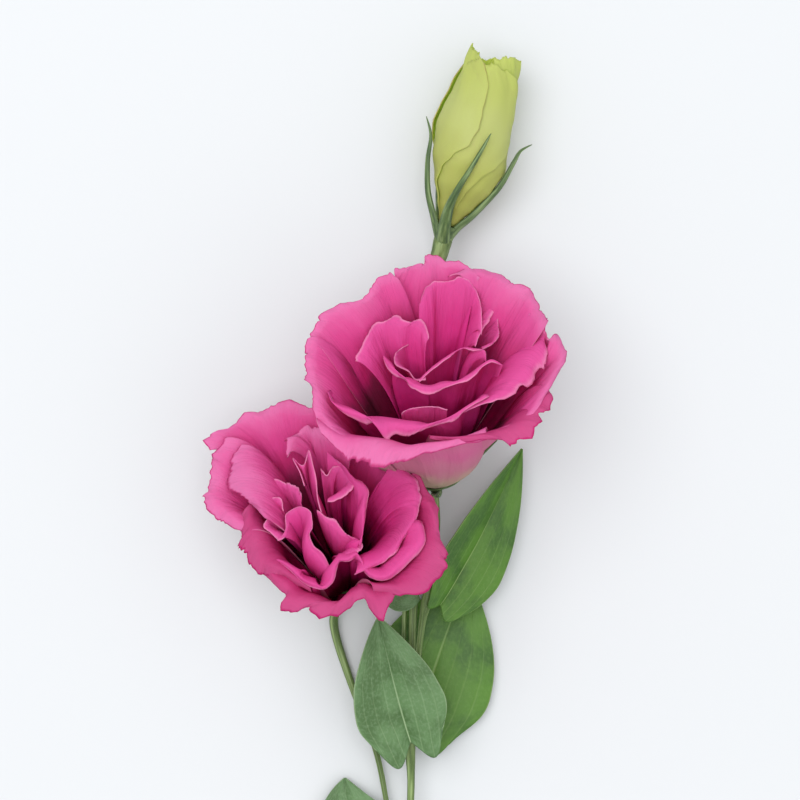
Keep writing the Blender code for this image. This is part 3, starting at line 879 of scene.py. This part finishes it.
for seed, petal in enumerate(BUD_PETALS):
    name = f"bud_{petal.name}"
    shape = partial(bud_point, petal, seed + 40.2)
    mesh = surface_mesh(name + "_sheet", [(shape, CELLS)], turned(BUD))
    piece = add_piece(name + "_fine", mesh, [name], "bud_petal", BUD_FACE, BUD_INNER_LIT)
    thicken(piece, BUD_THICK, 1)
print("the bud has", len(BUD_PETALS), "petals")

# %% [markdown]
# ## Green finishes
# Leaves and stems carry a thin bloom of wax, so they are matt and a little blue where the light grazes
# them. A lisianthus leaf has one strong pale midrib and a few weak veins that run beside it from base to
# tip. Those lines are lines of equal distance across the sheet, so the UV map draws them by itself.

# %% Leaf, calyx and stem finishes
def leaf_finish(name, deep, bright, waxy, rib):
    """Patches of two greens under a waxy bloom, with a pale midrib, three side veins and a thin rim."""
    finish, shader, start = new_finish(name, 0.5, Specular_IOR_Level=0.4)
    across, along = sheet_uv(start)
    patches = streaks(start, across, along, (3.0, 4.0), 4.0)
    mottle = streaks(start, across, along, (28.0, 40.0), 3.0)
    grain = streaks(start, across, along, (90.0, 16.0), 2.0)
    colour = patches.ramp((0.3, deep), (0.62, bright))
    colour = colour.over((*waxy, 1.0), mottle.rise(0.42, 0.72) * 0.22)
    off = (across - 0.5).size()
    midrib = 1.0 - off.rise(0.004, 0.016)
    colour = colour.over((*rib, 1.0), midrib * (1.1 - along) * 0.8)
    relief = mottle * 0.25 + grain * 0.3 - midrib * 0.5
    for place in (0.14, 0.27, 0.39):
        vein = 1.0 - (off - place + (patches - 0.5) * 0.03).size().rise(0.002, 0.012)
        colour = colour.over((*rib, 1.0), vein * (1.0 - along) * 0.18)
        relief = relief - vein * 0.3
    rim = off.rise(0.486, 0.498)
    colour = colour.over((*rib, 1.0), rim * 0.5)
    link_up(start, shader, colour, relief, 0.5, 0.3)
    return finish


def stem_finish(name, deep, bright, pale):
    """Fine lines along a stem or a sepal, with a few pale specks."""
    finish, shader, start = new_finish(name, 0.45, Specular_IOR_Level=0.4)
    across, along = sheet_uv(start)
    lines = streaks(start, across, along, (9.0, 5.0), 3.0)
    specks = streaks(start, across, along, (30.0, 160.0), 2.0)
    colour = lines.ramp((0.32, deep), (0.5, bright), (0.72, pale))
    colour = colour.over((*pale, 1.0), specks.rise(0.6, 0.75) * 0.3)
    link_up(start, shader, colour, lines + specks * 0.3, 0.4, 0.2)
    return finish


LEAF = leaf_finish("leaf_green", srgb(52, 92, 26), srgb(76, 120, 34), srgb(98, 138, 62), srgb(142, 170, 104))
GREY_LEAF = leaf_finish(
    "leaf_grey", srgb(68, 100, 54), srgb(90, 124, 78), srgb(128, 156, 120), srgb(156, 180, 138)
)
CALYX = stem_finish("calyx_green", srgb(58, 82, 46), srgb(82, 106, 60), srgb(120, 142, 92))
STEM = stem_finish("stem_green", srgb(72, 94, 44), srgb(96, 118, 64), srgb(136, 158, 102))
print("green finishes:", LEAF.name, GREY_LEAF.name, CALYX.name, STEM.name)

# %% [markdown]
# ## Leaves
# A leaf is a sheet along a bent midrib. Its halves rise from the midrib in a shallow fold, its edge waves a
# little, and at the base two round lobes reach back and clasp the stem. The neck is the base's share of the
# full width, heart is how far the lobes reach back, roll turns the leaf about its midrib, and fold is how
# steeply its halves rise.

# %% Leaves
Leaf = namedtuple("Leaf", "name base middle tip width neck heart roll fold finish")
LEAVES = (
    Leaf(
        "upper_right_leaf", base=(12.0, -61.4, 12.4), middle=(23.0, -43.0, 10.0), tip=(36.6, -14.7, 7.5),
        width=12.4, neck=0.62, heart=3, roll=-30, fold=25, finish=LEAF,
    ),
    Leaf(
        "upper_left_leaf", base=(5.4, -57.6, 12.6), middle=(-1.5, -55.6, 11.4), tip=(-11.6, -46.0, 9.0),
        width=6.5, neck=0.3, heart=0, roll=6, fold=12, finish=GREY_LEAF,
    ),
    Leaf(
        "back_leaf", base=(4.6, -101.0, 5.0), middle=(11.4, -78.0, 3.6), tip=(21.0, -52.5, 2.6),
        width=19.0, neck=0.62, heart=5, roll=0, fold=4, finish=LEAF,
    ),
    Leaf(
        "front_leaf", base=(3.2, -102.3, 13.0), middle=(-1.3, -86.4, 15.6), tip=(-6.5, -64.5, 17.0),
        width=15.2, neck=0.76, heart=6, roll=0, fold=26, finish=GREY_LEAF,
    ),
    Leaf(
        "bottom_left_leaf", base=(-2.4, -147.5, 7.2), middle=(-13.0, -131.0, 4.4), tip=(-16.6, -114.2, 2.4),
        width=14.5, neck=0.5, heart=2, roll=8, fold=12, finish=GREY_LEAF,
    ),
    Leaf(
        "bottom_right_leaf", base=(6.0, -147.9, 7.2), middle=(15.0, -139.2, 4.4), tip=(26.0, -129.4, 2.2),
        width=8, neck=0.55, heart=2, roll=-8, fold=12, finish=LEAF,
    ),
)


def leaf_share(neck, v):
    """A leaf's width at share v of its length, as a share of its greatest width."""
    widest = 0.36
    if v < widest:
        return neck + (1 - neck) * math.sin(0.5 * math.pi * v / widest)
    return max(math.cos(0.5 * math.pi * (v - widest) / (1 - widest)), 0.0) ** 0.85


def leaf_point(leaf, seed, u, v):
    """A point of a leaf: u runs across it from -1 to 1, and v from its base at 0 to its tip at 1."""
    base, middle, tip = Vector(leaf.base), Vector(leaf.middle), Vector(leaf.tip)
    control = middle * 2 - (base + tip) / 2
    spine = base * (1 - v) ** 2 + control * 2 * v * (1 - v) + tip * v * v
    onward = ((control - base) * (1 - v) + (tip - control) * v).normalized()
    flat = onward.cross(Vector((0, 0, 1))).normalized()
    up = flat.cross(onward)
    roll = math.radians(leaf.roll)
    across = flat * math.cos(roll) + up * math.sin(roll)
    lift = up * math.cos(roll) - flat * math.sin(roll)
    fold = math.radians(leaf.fold)
    half = max(leaf.width * leaf_share(leaf.neck, v), 0.15)
    lobes = math.sin(1.15 * math.pi * abs(u) ** 1.3)
    back = leaf.heart * max(1 - v / 0.45, 0.0) ** 2 * lobes
    rise = abs(u) * half * math.sin(fold) - 0.10 * half * u * u
    rise += 0.5 * u * u * wobble(v * 4.0, seed, math.copysign(1.0, u))
    rise -= 0.35 * math.exp(-((u / 0.05) ** 2)) * (1 - v)
    rise += 0.25 * wobble(u * 3.0, v * 5.0, seed + 2.0)
    half *= 1 + 0.025 * wobble(v * 6.0, seed + 1.0, math.copysign(1.0, u))
    return spine + across * (u * half * math.cos(fold)) + lift * rise - onward * back


LEAF_CELLS = ((48, 72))
LEAF_THICK = 0.4
for seed, leaf in enumerate(LEAVES):
    shape = partial(leaf_point, leaf, seed + 60.4)
    mesh = surface_mesh(leaf.name + "_sheet", [(shape, LEAF_CELLS)], Matrix.Translation(HOME))
    piece = add_piece(leaf.name + "_fine", mesh, [leaf.name], "leaf", leaf.finish)
    thicken(piece, LEAF_THICK)
print(len(LEAVES), "leaves")

# %% [markdown]
# ## Stems
# A stem is a grid rolled into a tube round a smooth line. The line is given by a few points with the stem's
# radius at each, so it can swell at the nodes where leaves and stalks grow out. Stalks start inside the
# stem that bears them, and end inside a calyx, so the joins don't show.

# %% Stems
STEMS = (
    ("main_stem", (
        (0.0, -181.5, 1.35, 1.3), (0.9, -164.0, 2.4, 1.3), (1.6, -149.0, 4.4, 1.5),
        (2.6, -132.0, 6.6, 1.15), (3.3, -116.0, 8.2, 1.1), (3.0, -103.5, 9.0, 1.6),
        (3.0, -98.6, 9.0, 1.2),
    )),
    ("left_branch", (
        (0.9, -149.5, 4.6, 0.5), (-0.9, -144.4, 4.8, 0.7), (-2.4, -133.0, 4.6, 0.75),
        (-4.2, -120.6, 3.6, 0.8), (-7.6, -105.0, 2.4, 0.9), (-15.2, -84.5, 1.6, 1.1),
        (-20.0, -67.0, 2.4, 1.35), (-15.7, -58.0, 6.3, 1.5), (-16.3, -56.1, 9.8, 1.5),
    )),
    ("upper_flower_stalk", (
        (3.4, -103.0, 9.4, 0.9), (4.9, -98.6, 10.0, 0.9), (5.6, -88.0, 10.8, 0.9),
        (5.5, -77.8, 11.6, 0.95), (6.6, -67.0, 12.8, 1.0), (7.8, -60.4, 13.8, 1.5),
        (9.6, -50.0, 14.8, 1.0), (11.0, -38.0, 13.6, 0.95), (10.4, -27.7, 14.9, 1.2),
        (10.4, -25.4, 17.9, 1.3),
    )),
    ("bud_stalk", (
        (3.0, -103.0, 9.0, 1.2), (3.2, -88.0, 8.8, 1.25), (3.6, -76.8, 8.8, 1.25),
        (4.3, -58.5, 8.4, 1.2), (7.6, -24.1, 7.0, 1.2), (9.4, 12.0, 6.8, 1.4), (10.2, 36.0, 9.0, 2.0),
        (12.1, 44.8, 11.1, 2.7), (12.9, 47.9, 11.5, 2.8),
    )),
    ("side_shoot", (
        (2.2, -102.0, 8.8, 0.7), (0.8, -88.0, 8.6, 0.7), (1.1, -75.1, 8.8, 0.7),
        (1.5, -58.9, 8.8, 0.7), (2.6, -46.0, 9.0, 0.7),
    )),
)


def stem_point(points, u, v):
    """A point of a stem: u runs round it from -1 to 1, and v along it from its first point to its last."""
    place = on_curve(points, v)
    ahead = on_curve(points, min(v + 0.004, 1.0)) - on_curve(points, max(v - 0.004, 0.0))
    tangent = Vector(ahead[:3]).normalized()
    side = tangent.cross(Vector((0, 0, 1))).normalized()
    radius = place[3] * (1 + 0.05 * wobble(0.5, 0.5, v * 30.0))
    angle = math.pi * u
    return Vector(place[:3]) + (side * math.cos(angle) + side.cross(tangent) * math.sin(angle)) * radius


for name, points in STEMS:
    shape = partial(stem_point, [Vector(point) for point in points])
    cells = (16, 20 * len(points))
    mesh = surface_mesh(name + "_tube", [(shape, cells)], Matrix.Translation(HOME), True)
    add_piece(name + "_fine", mesh, [name], "stem", STEM)
print(len(STEMS), "stems")

# %% [markdown]
# ## Calyxes
# Under each bloom the stalk widens into a small cup, the calyx, which parts into five narrow sepals. The cup
# is a tube like a stem's, turned on the axis of the bloom. A sepal is a flattened tube along a line of its
# own, so it can hug the petals first and bend away at its tip. HUG is the line of one that stays close.

# %% Calyxes
Sepal = namedtuple("Sepal", "azimuth width path")
HUG = ((3.0, -4.0, 0), (5.6, -1.5, 0), (8.5, 2.5, 0), (11.0, 7.0, 0), (13.0, 12.0, 0))
CALYXES = (
    ("upper_flower_calyx", UPPER, (
        Sepal(350, 1.5, ((3.0, -4.0, 0), (5.8, -1.5, 0), (9.5, 4.0, 4), (13.5, 11.0, 8), (18.0, 17.5, 10))),
        Sepal(57, 1.5, HUG), Sepal(129, 1.5, HUG),
        Sepal(206, 1.4, ((3.0, -4.0, 0), (6.0, -1.8, 0), (8.8, 2.2, 0), (10.8, 5.0, 0), (12.2, 6.6, 2))),
        Sepal(277, 1.6, ((3.0, -4.0, 0), (5.6, -2.0, 0), (7.8, 1.0, 0), (9.6, 4.5, 0), (11.5, 8.0, 0))))),
    ("lower_flower_calyx", LOWER, (
        Sepal(10, 1.5, HUG), Sepal(82, 1.5, HUG), Sepal(154, 1.5, HUG), Sepal(226, 1.4, HUG),
        Sepal(298, 1.5, HUG))),
    ("bud_calyx", BUD, (
        Sepal(350, 2.1, ((1.0, -6.0, 0), (3.2, -0.6, 0), (6.7, 4.4, 0), (10.9, 11.8, 0), (12.9, 16.2, 0),
                         (14.7, 23.2, 0), (15.8, 26.8, 0), (18.6, 29.5, 0))),
        Sepal(268, 2.1, ((1.4, -6.0, 0), (3.8, -2.0, -8), (6.8, 4.0, -6), (9.9, 10.0, 2), (12.2, 17.0, 12),
                         (12.9, 23.5, 20), (13.4, 29.3, 26))),
        Sepal(190, 2.1, ((1.0, -6.0, 0), (3.0, -2.0, 0), (4.8, 1.5, 0), (8.3, 8.3, 0), (10.7, 17.0, 0),
                         (11.7, 24.4, 0), (14.5, 29.6, 0))),
        Sepal(126, 1.9, ((1.0, -6.0, 0), (3.4, -1.5, 0), (6.4, 4.0, 0), (9.4, 10.0, 0), (11.4, 17.0, 0))),
        Sepal(60, 1.9, ((1.0, -6.0, 0), (3.4, -1.5, 0), (6.4, 4.0, 0), (9.4, 10.0, 0), (11.4, 17.0, 0))))),
)


def cup_point(bloom, u, v):
    """A point of the cup, whose wall rises from the stalk to its rim and comes back down inside."""
    profile = (
        (0.0, bloom.stalk, -6.0), (0.3, bloom.stalk + 0.3, -4.2), (0.55, bloom.cup - 0.2, -1.8),
        (0.75, bloom.cup + 0.3, -0.5), (0.85, bloom.cup - 0.1, -0.4), (0.92, bloom.cup - 1.2, -2.2),
        (1.0, 0.001, -2.6),
    )
    radius = along_table([(place, r) for place, r, _ in profile], v)
    height = along_table([(place, h) for place, _, h in profile], v)
    return Vector((radius * math.cos(math.pi * u), radius * math.sin(math.pi * u), height))


def sepal_point(sepal, u, v):
    """A point of a sepal, whose path is a list of (radius, height, turn in degrees)."""
    radius, height, turn = on_curve(sepal.path, v)
    ahead = on_curve(sepal.path, min(v + 0.02, 1.0)) - on_curve(sepal.path, max(v - 0.02, 0.0))
    slope = math.atan2(ahead.y, ahead.x)
    half_width = sepal.width * (0.75 + 0.25 * math.cos(5.0 * v)) * (1 - v**2.5) + 0.12
    half_thick = 0.42 * sepal.width * (1 - v**3) + 0.10
    across, outward = math.cos(math.pi * u), math.sin(math.pi * u)
    lift = half_thick * outward - 0.30 * across * across * half_width
    angle = math.radians(sepal.azimuth + turn)
    radius, height = radius + lift * math.sin(slope), height - lift * math.cos(slope)
    away = Vector((math.cos(angle), math.sin(angle), 0))
    side = Vector((-math.sin(angle), math.cos(angle), 0))
    return away * radius + side * (across * half_width) + Vector((0, 0, height))


for name, bloom, sepals in CALYXES:
    surfaces = [(partial(cup_point, bloom), (32, 20))]
    for sepal in sepals:
        drawn = sepal._replace(path=[Vector(place) for place in sepal.path])
        surfaces.append((partial(sepal_point, drawn), (12, 40)))
    mesh = surface_mesh(name + "_shape", surfaces, turned(bloom), True)
    add_piece(name + "_fine", mesh, [name], "calyx", CALYX)
print(len(CALYXES), "calyxes")

# %% [markdown]
# ## Table, light and camera
# The table is one large pale sheet. A wide lamp on the left gives soft shadows, a weak one on the right
# opens them a little, and a white world fills the rest. The camera looks straight down from almost a metre
# up. Its lens is long enough to take in a strip 232 mm wide at the height of the blooms, so the heads fill
# the frame, and the foot of the stem runs out of it.

# %% Table and lights
def add_light(name, place, size, energy):
    """A round soft lamp that faces the middle of the spray."""
    lamp = bpy.data.lights.new(name, "AREA")
    lamp.shape = "DISK"
    lamp.size = size
    lamp.energy = energy
    light = bpy.data.objects.new(name, lamp)
    light.location = place
    light.rotation_euler = (Vector((0, 0, 0.03)) - light.location).to_track_quat("-Z", "Y").to_euler()
    bpy.context.scene.collection.objects.link(light)


bm = bmesh.new()
bmesh.ops.create_grid(bm, x_segments=1, y_segments=1, size=3.0)
table_mesh = bpy.data.meshes.new("table")
bm.to_mesh(table_mesh)
bm.free()
table_finish, table_shader, _ = new_finish("pale_table", 0.9)
table_shader.inputs["Base Color"].default_value = (*srgb(210, 213, 216), 1.0)
table_mesh.materials.append(table_finish)
table = bpy.data.objects.new("table", table_mesh)
bpy.context.scene.collection.objects.link(table)

add_light("key", (-0.35, 0.3, 1.7), 1.8, 22)
add_light("fill", (0.8, -0.4, 1.0), 1.6, 2.5)
world = bpy.data.worlds.new("soft_room")
world.use_nodes = True
world.node_tree.nodes["Background"].inputs["Color"].default_value = (1.0, 1.0, 1.0, 1.0)
world.node_tree.nodes["Background"].inputs["Strength"].default_value = 0.80
bpy.context.scene.world = world
bpy.context.scene.view_settings.view_transform = "Standard"

# %% Camera
CAMERA_HEIGHT, FRAMED_HEIGHT, FRAMED_WIDTH, SENSOR = 940, 40, 232, 36
camera_data = bpy.data.cameras.new("camera")
camera_data.lens = SENSOR * (CAMERA_HEIGHT - FRAMED_HEIGHT) / FRAMED_WIDTH
camera = bpy.data.objects.new("camera", camera_data)
camera.location = Vector((HOME.x, HOME.y, CAMERA_HEIGHT)) * MM
bpy.context.scene.collection.objects.link(camera)
bpy.context.scene.camera = camera
print("the camera is", CAMERA_HEIGHT, "mm up, with a lens of", round(camera_data.lens), "mm")
